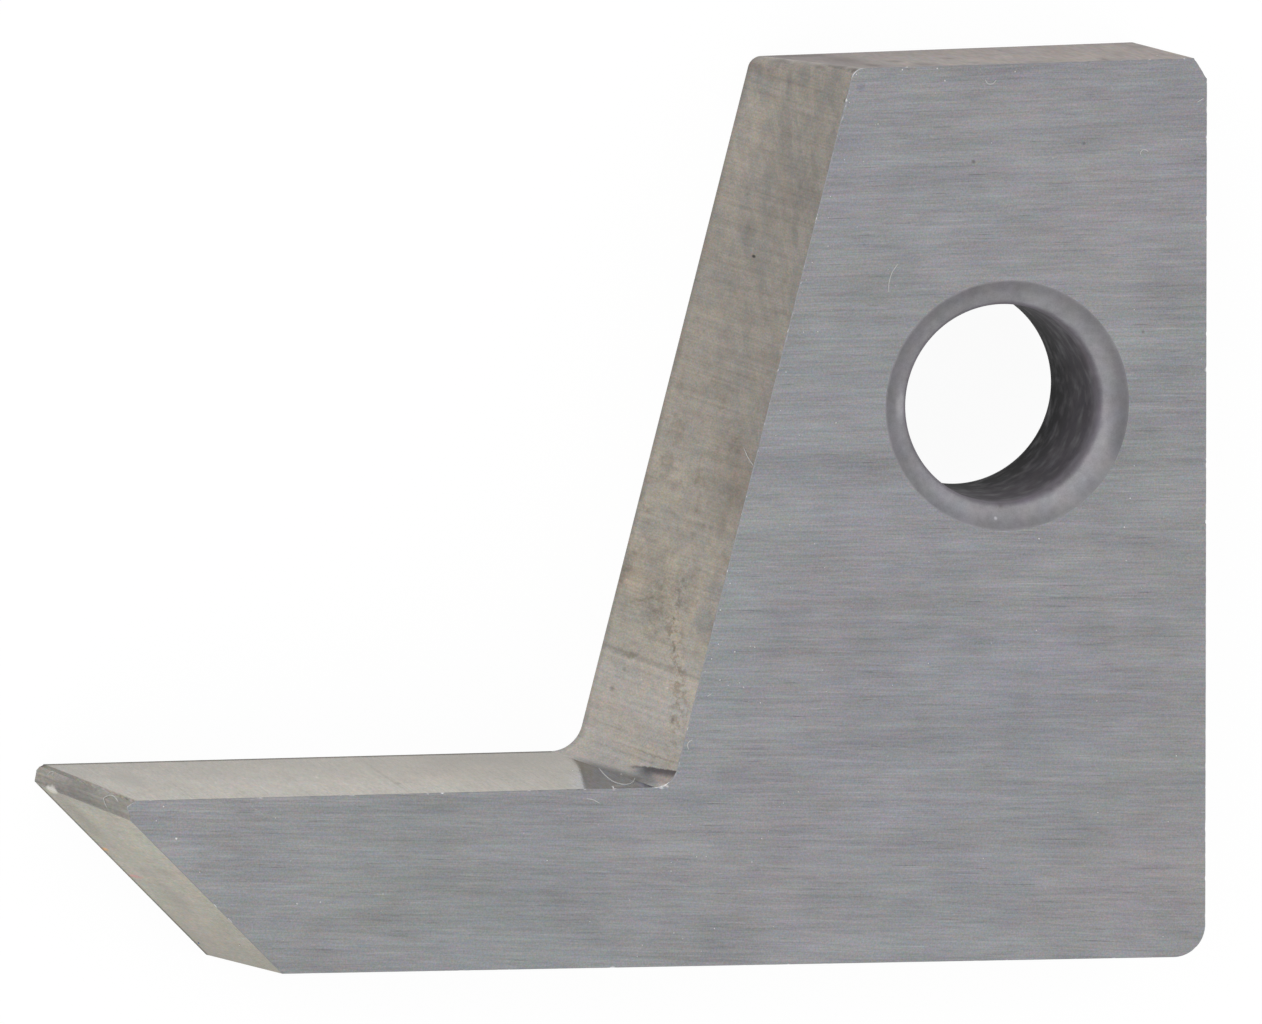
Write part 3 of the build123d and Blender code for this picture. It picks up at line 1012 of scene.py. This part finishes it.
def filmed(finish, shades, tone, along, apart):
    """The tone under cloudy, speckled brown film, thickest between the wall's middle and the throat."""
    cloud = finish.noise(along, (0.50, 1, 1.0), detail=4, roughness=0.65)
    speckle = finish.noise(along, (0.16, 1, 0.35), detail=3, roughness=0.65)
    cloud = finish.ramp(cloud, 0.47, 0.70, 0.0, 0.55)
    speckle = finish.ramp(speckle, 0.52, 0.74, 0.0, 0.45)
    coming = finish.ramp(apart["X"], -2.5, 3.0, 0.25, 0.80)
    going = finish.ramp(apart["X"], 5.2, 6.8, 1.0, 0.10)
    film = finish.times(coming, going, finish.math("ADD", cloud, speckle))
    return finish.blend(film, tone, shades.film)


def slope_finish(shades, sizes, travel):
    """The leaning wall: blotches, haze and film, then stains, spots and speckles, and fine scratches."""
    finish = Finish("stained_slope", roughness=0.42)
    along = finish.turned(travel)
    apart = finish.split(along)
    colour = hazed(finish, shades, bare_slope(finish, shades, along, apart), apart)
    colour = filmed(finish, shades, colour, along, apart)
    colour = finish.marked(colour, finish.ragged(along, 0.14, 0.12), SLOPE_STAINS)
    colour = finish.marked(colour, along, SLOPE_SPOTS)
    fine = finish.ramp(finish.noise(along, (0.10, 1, 0.22), detail=4, roughness=0.7), 0.46, 0.60)
    for mark in SLOPE_SPECKLES.values():
        share = finish.times(finish.inside(along, mark), fine)
        colour = finish.blend(share, colour, mark.tint, "MULTIPLY")
    scratch = finish.noise(along, (0.045, 1, 5.0), detail=2)
    groove = finish.noise(along, (0.14, 1, 7.0), detail=3)
    grit = finish.noise(finish.place, (0.03, 0.03, 0.08), detail=1)
    colour = finish.level(colour, (0.36, scratch), (0.36, groove), (0.46, grit))
    colour = finish.hued(colour, 0.75, finish.place, (0.036, 0.036, 0.08))
    colour = finish.hued(colour, 0.09, along, (0.3, 1, 0.6), detail=3)
    # Painted shade and reflection in the throat's rounding, then painted shade along the far edge
    colour = finish.shaded_rim(throat_painted_shade(finish, colour, sizes), -sizes.thickness / 2 / MM, 0.80)
    return finish.surface(colour, finish.math("ADD", scratch, groove), relief=0.7)


def throat_painted_shade(finish, colour, sizes):
    """Painted shade and painted reflection tones in the throat's rounding: a grey foot beside the ledge, and
    a wedge of painted shade that is darkest at its upper border.

    The borders are straight lines between the height over the ledge's edge, y, and the place across the
    thickness, z. Close to the rake face the wedge is paler and reddish, and a thin dark line leads to it.
    """
    ragged = finish.split(finish.ragged(finish.place, 0.10, 0.05))
    y, z = finish.math("ADD", ragged["Y"], sizes.ledge_distance / MM), ragged["Z"]
    slanted = finish.math("MULTIPLY_ADD", z, -0.036, y)
    foot = finish.ramp(finish.math("MULTIPLY_ADD", z, 0.03, y), 0.12, 0.22, 1.0, 0.0)
    under = finish.ramp(slanted, 0.235, 0.265, 1.0, 0.0)
    wedge = finish.times(finish.ramp(z, 0.56, 0.92), under)
    line = finish.times(finish.ramp(z, 0.40, 0.64, 0.0, 0.7), under, finish.ramp(slanted, 0.17, 0.23))
    border = finish.ramp(ragged["X"], -7.20, -7.10)
    # The tints of the foot and the wedge are painted reflection and painted shade
    stained = finish.blend(border, (0.70, 0.76, 0.85), (0.83, 0.80, 0.84))
    low = finish.times(finish.ramp(ragged["X"], -7.55, -7.30), finish.ramp(y, 0.03, 0.09, 1.0, 0.0))
    stained = finish.vector("SCALE", stained, scale=finish.math("ADD", low, 1.0))
    grey = finish.blend(finish.math("MAXIMUM", foot, wedge), colour, stained, "MULTIPLY")
    # Painted shade: the wedge darkest under its upper border, and the thin dark line that leads to it
    dusk = finish.ramp(slanted, finish.math("MULTIPLY_ADD", border, 0.13, -0.06), 0.20)
    dusk = finish.times(dusk, finish.ramp(finish.math("MULTIPLY_ADD", z, 0.45, slanted), 0.44, 0.74), wedge)
    dark = finish.math("MAXIMUM", dusk, line)
    return finish.blend(dark, grey, (0.26, 0.25, 0.27), "MULTIPLY")


def relieved_tone(finish, base, along, patched, texture):
    """Tone of a ground wall: scratches across its thickness, soft patches, mottles and a faint grain."""
    scratched, gritty, hue = texture
    scratch = finish.noise(along, (0.05, 1, 3.0), detail=2)
    patch = finish.noise(along, (0.7, 1, 1.2), detail=3, roughness=0.6)
    mottle = finish.noise(along, (0.16, 1, 0.4), detail=3, roughness=0.6)
    grit = finish.noise(finish.place, (0.03, 0.03, 0.20), detail=1)
    mottled = 0.1 + 0.67 * patched
    colour = finish.level(base, (scratched, scratch), (patched, patch), (mottled, mottle), (gritty, grit))
    colour = finish.hued(colour, hue, finish.place, (0.05, 0.05, 0.2))
    return finish.hued(colour, 0.3 * hue, along, (0.5, 1, 1.5), detail=3), scratch


def wall_finish(
    name, base, travel, sizes, roughness=0.4, patch_strength=0.9, texture=(0.55, 1.0, 1.3),
    sheen=None, fade=None, drop=None, lean=0.0, marks=None, chips=None,
):
    """A relieved wall, with the strengths of its scratches, its grit and its changes of hue as its texture.

    Its sheen is the share of light that it keeps at a grazing angle. Its fade is the tone at the back, then
    two places along it and the tone at each. Its drop is two depths under the ledge's wall and the tone at
    each. Its scratches lean along the wall by a share of their height.
    """
    finish = Finish(name, roughness=roughness)
    if sheen is not None:
        finish.shader.inputs["Specular Tint"].default_value = (*sheen, 1)
    along = finish.turned(travel)
    ruled = along
    if lean:
        ruled = finish.vector("ADD", along, finish.point(X=finish.times(finish.apart["Z"], -lean)))
    colour, scratch = relieved_tone(finish, base, ruled, patch_strength, texture)
    if fade:
        half = sizes.thickness / 2 / MM
        back, *ends = fade
        across = finish.ramp(finish.apart["Z"], -half, half, back, 1.0)
        colour = finish.vector("SCALE", colour, scale=across)
        colour = finish.vector("SCALE", colour, scale=finish.ramp(finish.split(along)["X"], *ends))
        rough = finish.ramp(finish.apart["Z"], 0.02 - half, 0.26 - half, 0.5, roughness)
        finish.tree.links.new(rough, finish.shader.inputs["Roughness"])
        # Painted shade in a thin line along the far edge
        colour = finish.shaded_rim(colour, -half, 0.6)
    if marks:
        colour = finish.marked(colour, finish.ragged(along, 0.10, 0.06), marks)
    if drop:
        slant = math.tan(sizes.ledge_relief)
        wall = (sizes.thickness / 2 * slant - sizes.ledge_distance) / MM
        height = finish.math("MULTIPLY_ADD", finish.apart["Z"], slant, finish.apart["Y"])
        under = finish.math("SUBTRACT", wall, height)
        colour = finish.vector("SCALE", colour, scale=finish.ramp(under, *drop))
    if chips:
        colour = finish.marked(colour, finish.ragged(along, 0.10, 0.06), chips, "MIX")
    return finish.surface(colour, scratch, relief=0.3)


def top_finish(shades, sizes, travel):
    """The top wall, browner and darker towards the crown, with a few long dark smears."""
    finish = Finish("ground_top", roughness=0.40)
    finish.shader.inputs["Specular Tint"].default_value = (*shades.top_sheen, 1)
    along = finish.turned(travel)
    apart = finish.split(along)
    stained = finish.ramp(apart["X"], 1.2, 3.6)
    bare = finish.blend(stained, shades.top, shades.top_stain)
    patch = finish.noise(along, (0.5, 1, 2.0), detail=3, roughness=0.6)
    mottle = finish.noise(along, (0.10, 1, 0.9), detail=2)
    grit = finish.noise(finish.place, (0.03, 0.03, 0.4), detail=1)
    smear = finish.ramp(finish.noise(along, (0.45, 1, 0.8), detail=3), 0.58, 0.72, 0.0, 0.8)
    colour = finish.level(bare, (0.8, patch), (0.7, mottle), (0.9, grit))
    half = sizes.thickness / 2 / MM
    colour = finish.vector("SCALE", colour, scale=finish.ramp(apart["Z"], -half, half, 0.90, 1.12))
    colour = finish.hued(colour, 1.2, finish.place, (0.03, 0.03, 0.4))
    colour = finish.hued(colour, 0.3, along, (0.5, 1, 1.5), detail=3)
    colour = finish.blend(smear, colour, shades.top_stain)
    colour = finish.marked(colour, finish.ragged(along, 0.3, 0.2), TOP_MARKS)
    # Painted shade in a thin line along the far edge
    colour = finish.shaded_rim(colour, -half, 0.5)
    return finish.surface(colour, mottle, relief=0.3)


def seat_finish(shades):
    """Ground seating face with straight streaks along the foot."""
    finish = Finish("ground_seat", roughness=0.38)
    fine = finish.noise(finish.place, (0.9, 0.035, 1), detail=2)
    streak = finish.noise(finish.place, (3.0, 0.09, 1), detail=3)
    cloud = finish.noise(finish.place, (2.0, 1.5, 1), detail=2)
    grit = finish.noise(finish.place, (0.03, 0.03, 1), detail=1)
    colour = finish.level(shades.seat, (0.40, fine), (0.36, streak), (0.20, cloud), (0.35, grit))
    colour = finish.hued(colour, 0.12, finish.place, (0.05, 0.05, 1))
    return finish.surface(colour, finish.math("ADD", fine, streak), relief=0.6)


def bore_finish(shades, sizes):
    """Grey countersinks with painted light, palest at their inner edge, and a dark bore between them with
    painted shade, darkest at its far end.
    """
    finish = Finish("bore_skin", roughness=0.6)
    finish.shader.inputs["Specular IOR Level"].default_value = 0.05
    apart = finish.apart
    radius = finish.vector("LENGTH", finish.point(X=apart["X"], Y=apart["Y"]))
    ragged = finish.noise(finish.place, (0.35, 0.35, 0.35), detail=3)
    edge = finish.math("MULTIPLY_ADD", finish.math("SUBTRACT", ragged, 0.5), 0.16, radius)
    bore = sizes.bore_radius / MM
    mouth_radius = bore + sizes.sink_depth / MM * math.tan(sizes.sink_angle / 2)
    ring = finish.ramp(edge, bore - 0.02, bore + 0.12)
    cloud = finish.noise(finish.place, (0.8, 0.8, 0.8), detail=3)
    mottle = finish.noise(finish.place, (0.15, 0.15, 0.20), detail=3)
    grit = finish.noise(finish.place, (0.03, 0.03, 0.05), detail=1)
    ring_tone = finish.level(shades.ring, (0.5, cloud), (0.35, mottle), (0.25, grit))
    # Painted light on the countersinks: palest at their inner edge
    lit = finish.ramp(radius, bore + 0.12, mouth_radius - 0.03, 1.14, 0.80)
    ring_tone = finish.vector("SCALE", ring_tone, scale=lit)
    ring_tone = finish.marked(ring_tone, finish.plan, RING_MARKS)
    mouth = (sizes.thickness / 2 - sizes.sink_depth) / MM
    # Painted shade in the bore: darker with depth, darkest at the far end, and lighter on its lower side
    near = finish.ramp(apart["Z"], mouth - 0.8, mouth, 0.56, 1.34)
    far = finish.ramp(apart["Z"], -mouth, 0.6, 0.02, 1.0)
    lower = finish.ramp(apart["Y"], -bore, bore, 1.10, 0.88)
    bore_tone = finish.level(shades.bore, (0.55, cloud), (0.30, mottle), (0.20, grit))
    bore_tone = finish.vector("SCALE", bore_tone, scale=finish.times(near, far, lower))
    colour = finish.blend(ring, bore_tone, ring_tone)
    colour = finish.hued(colour, 0.14, finish.place, (0.4, 0.4, 0.4), detail=3)
    finish.tree.links.new(ring, finish.shader.inputs["Metallic"])
    return finish.surface(colour, mottle, relief=2.0)


def edge_finish(name, base, roughness, glints=None):
    """Narrow edge with a fine uneven tone, and painted glints: brighter spots scattered along it and at the
    given marks.
    """
    finish = Finish(name, roughness=roughness)
    grain = finish.noise(finish.place, (0.12, 0.12, 0.12), detail=2)
    # Painted glints in scattered spots
    bright = finish.ramp(finish.noise(finish.place, (0.16, 0.16, 0.16), detail=2), 0.62, 0.76)
    colour = finish.level(base, (0.5, grain), (1.8, finish.math("ADD", bright, 0.5)))
    if glints:
        colour = finish.marked(colour, finish.plan, glints)
    return finish.surface(colour, grain, relief=1.0)


def dust_finish(name, base):
    """Matt lint or dust with a faint uneven tone."""
    finish = Finish(name, metallic=0.0, roughness=0.8)
    grain = finish.noise(finish.place, (0.06, 0.06, 0.06), detail=1)
    return finish.surface(finish.level(base, (0.4, grain)))


def body_materials(shades, sizes):
    """One material for each name in FINISHES."""
    travel = dict(zip(WALLS, wall_lines(sizes, 0)[0]))
    flank = {"travel": travel["flank"], "sizes": sizes, "marks": FLANK_MARKS, "chips": FLANK_CHIPS}
    made = {
        "rake": rake_finish(shades),
        "slope": slope_finish(shades, sizes, travel["slope"]),
        "ledge": wall_finish(
            "pale_ledge", shades.walls, travel["ledge"], sizes, 0.12, texture=(0.7, 1.2, 1.1),
            sheen=shades.ledge_sheen, fade=(0.60, 8.4, 12.0, 0.72, 1.06), marks=LEDGE_MARKS,
        ),
        "nose": wall_finish(
            "dark_nose", shades.nose, roughness=0.5, patch_strength=0.2, texture=(0.9, 0.5, 0.5),
            drop=(0.0, 0.28, 0.97, 0.90), lean=NOSE_LEAN, **flank,
        ),
        "flank": wall_finish(
            "pale_flank", shades.walls, roughness=0.15, sheen=shades.flank_sheen,
            fade=(0.86, -6.0, -1.8, 1.36, 0.64), **flank,
        ),
        "outer": wall_finish(
            "ground_outer", shades.walls, travel["heel"], sizes, patch_strength=0.4, texture=(0.7, 0.6, 0.3),
        ),
        "top": top_finish(shades, sizes, travel["top"]),
        "seat": seat_finish(shades),
        "bore": bore_finish(shades, sizes),
        "front_edge": edge_finish("front_edges", shades.rake, 0.3, EDGE_GLINTS),
        # Dark back edges: painted shade along the far edges, with painted glints
        "back_edge": edge_finish("back_edges", shades.back_edge, 0.5),
    }
    return [made[name] for name in FINISHES]


# Pieces


def link_mesh(name, points, faces, materials, finish=None, smooth=True):
    """A mesh object at the origin, linked to the scene."""
    mesh = bpy.data.meshes.new(name)
    mesh.from_pydata(points.tolist(), [], faces)
    for material in materials:
        mesh.materials.append(material)
    if finish is not None:
        mesh.polygons.foreach_set("material_index", np.asarray(finish, np.int32))
    flags = np.broadcast_to(np.asarray(smooth, bool), len(mesh.polygons))
    mesh.polygons.foreach_set("use_smooth", flags.copy())
    mesh.validate()
    mesh.update()
    piece = bpy.data.objects.new(name, mesh)
    bpy.context.scene.collection.objects.link(piece)
    return piece


class LATHETOOL_OT_skin(bpy.types.Operator):
    """Make the body's skin with its chipped edges and ground finishes"""

    bl_idname = "lathetool.skin"
    bl_label = "Tool Skin"

    def execute(self, context):
        sizes, shades = context.scene.lathetool_sizes, context.scene.lathetool_shades
        points, faces, finish, smooth = body_mesh(sizes)
        skin = link_mesh("tool_skin", points, faces, body_materials(shades, sizes), finish, smooth)
        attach(skin, "root")
        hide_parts("tool_body")
        return {"FINISHED"}


class LATHETOOL_OT_lint(bpy.types.Operator):
    """Lay the loose fibres of lint on the tool"""

    bl_idname = "lathetool.lint"
    bl_label = "Lint"

    def execute(self, context):
        scene = context.scene
        sizes, dust = scene.lathetool_sizes, scene.lathetool_dust
        points, faces = joined([fibre_mesh(sizes, dust, fibre) for fibre in FIBRES.values()])
        lint = link_mesh("lint_fibres", points, faces, [dust_finish("lint", scene.lathetool_shades.lint)])
        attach(lint, "root")
        return {"FINISHED"}


class LATHETOOL_OT_dust(bpy.types.Operator):
    """Scatter the grains of dust on the tool"""

    bl_idname = "lathetool.dust"
    bl_label = "Dust"

    def execute(self, context):
        scene = context.scene
        (points, faces), kinds = grain_mesh(scene.lathetool_sizes, scene.lathetool_dust)
        materials = [dust_finish(kind, getattr(scene.lathetool_shades, kind)) for kind in GRAINS]
        grains = link_mesh("dust_grains", points, faces, materials, kinds)
        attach(grains, "root")
        return {"FINISHED"}


class LATHETOOL_OT_stage(bpy.types.Operator):
    """Make the floor, the light and the camera"""

    bl_idname = "lathetool.stage"
    bl_label = "Stage"

    def execute(self, context):
        stage = context.scene.lathetool_stage
        floor = floor_plane(stage)
        white_world(context.scene)
        soft_lamps(context.scene, stage)
        photo_camera(context.scene, stage)
        context.scene.view_settings.view_transform = "Standard"
        return {"FINISHED"}


# Stage


def seen_directly(tree):
    """A value of 1 for rays from the camera, off gloss and through glass, and 0 for the rest."""
    path = add_node(tree, "ShaderNodeLightPath").outputs
    total = path["Is Camera Ray"]
    for name in ("Is Glossy Ray", "Is Transmission Ray"):
        total = add_node(tree, "ShaderNodeMath", {0: total, 1: path[name]}, operation="MAXIMUM").outputs[0]
    return total


def floor_plane(stage):
    """A white square under the tool. What sees it directly finds it mostly aglow, with a faint shadow."""
    white, brightness, glowing = 0.9, 1.02, 0.93
    reach = stage.floor_size / 2
    corners = np.array([[-1, -1], [1, -1], [1, 1], [-1, 1]]) * reach
    points = np.column_stack([corners, np.full(4, BODY_LOW.z)])
    material = bpy.data.materials.new("white_floor")
    material.use_nodes = True
    tree = material.node_tree
    tree.nodes.clear()
    plain = add_node(tree, "ShaderNodeBsdfDiffuse", {"Color": (white, white, white, 1)})
    glow = add_node(tree, "ShaderNodeEmission", {"Strength": brightness})
    share = add_node(tree, "ShaderNodeMath", {0: seen_directly(tree), 1: glowing}, operation="MULTIPLY")
    inputs = dict(enumerate(node.outputs[0] for node in (share, plain, glow)))
    mixed = add_node(tree, "ShaderNodeMixShader", inputs)
    add_node(tree, "ShaderNodeOutputMaterial", {"Surface": mixed.outputs[0]})
    return link_mesh("floor", points, [[0, 1, 2, 3]], [material], smooth=False)


def white_world(scene):
    """Even white all round, a little under full strength for plain light."""
    world = bpy.data.worlds.new("white_room")
    world.use_nodes = True
    tree = world.node_tree
    background = tree.nodes["Background"]
    background.inputs["Color"].default_value = (1, 1, 1, 1)
    levels = {"Value": seen_directly(tree), "To Min": 0.8, "To Max": 1.0}
    strength = add_node(tree, "ShaderNodeMapRange", levels)
    tree.links.new(strength.outputs[0], background.inputs["Strength"])
    scene.world = world


def soft_lamps(scene, stage):
    """Two wide lamps above the tool, the main one at the upper left and a weaker one at the right."""
    for name, direction, share in (
        ("main_lamp", Vector((-0.6, 0.5, 1.0)), 1.0),
        ("fill_lamp", Vector((0.8, -0.3, 0.9)), 0.5),
    ):
        lamp = bpy.data.lights.new(name, "AREA")
        lamp.size = stage.lamp_size
        lamp.energy = stage.lamp_power * share
        holder = bpy.data.objects.new(name, lamp)
        holder.location = direction.normalized() * stage.lamp_distance
        holder.rotation_euler = direction.to_track_quat("Z", "Y").to_euler()
        scene.collection.objects.link(holder)


def photo_camera(scene, stage):
    """The camera on the line of sight through the picture's middle, turned so that +Y is up."""
    tilt, azimuth = stage.tilt, stage.azimuth
    sight = Vector((-math.sin(tilt) * math.cos(azimuth), math.sin(tilt) * math.sin(azimuth), math.cos(tilt)))
    up = Vector((0, 1, 0)) - sight.y * sight
    up.normalize()
    right = up.cross(sight)
    turn = Matrix.Rotation(stage.roll, 3, sight)
    right, up = turn @ right, turn @ up
    mouth = Vector((0, 0, BODY_HIGH.z))
    middle = mouth - right * stage.bore_right - up * stage.bore_above
    lens = bpy.data.cameras.new("camera")
    lens.lens = stage.focal
    lens.clip_start = 0.01
    lens.clip_end = 10
    camera = bpy.data.objects.new("camera", lens)
    facing = Matrix((right, up, sight)).transposed().to_4x4()
    camera.matrix_world = Matrix.Translation(middle + sight * stage.distance) @ facing
    scene.collection.objects.link(camera)
    scene.camera = camera


class LATHETOOL_PT_panel(bpy.types.Panel):
    """Sizes, shades and steps of the lathe tool"""

    bl_label = "Lathe Tool"
    bl_idname = "LATHETOOL_PT_panel"
    bl_space_type = "VIEW_3D"
    bl_region_type = "UI"
    bl_category = "Lathe Tool"

    def draw(self, context):
        layout = self.layout
        for operator in OPERATORS:
            layout.operator(operator.bl_idname)
        for group in (getattr(context.scene, name) for name in GROUPS):
            box = layout.box()
            for name in group.bl_rna.properties.keys():
                if name not in ("rna_type", "name"):
                    box.prop(group, name)


OPERATORS = (LATHETOOL_OT_skin, LATHETOOL_OT_lint, LATHETOOL_OT_dust, LATHETOOL_OT_stage)
GROUPS = {
    "lathetool_sizes": ToolSizes,
    "lathetool_shades": ToolShades,
    "lathetool_dust": ToolDust,
    "lathetool_stage": StageSettings,
}


def register():
    """Add the classes, and each group of settings to the scene."""
    for item in (*GROUPS.values(), *OPERATORS, LATHETOOL_PT_panel):
        bpy.utils.register_class(item)
    for name, group in GROUPS.items():
        setattr(bpy.types.Scene, name, PointerProperty(type=group))


def unregister():
    """Take the settings and the classes away again."""
    for name in GROUPS:
        delattr(bpy.types.Scene, name)
    for item in (LATHETOOL_PT_panel, *OPERATORS, *GROUPS.values()):
        bpy.utils.unregister_class(item)


def main():
    """Register the add-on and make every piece."""
    register()
    bpy.ops.lathetool.skin()
    bpy.ops.lathetool.lint()
    bpy.ops.lathetool.dust()
    bpy.ops.lathetool.stage()


if __name__ == "__main__":
    main()
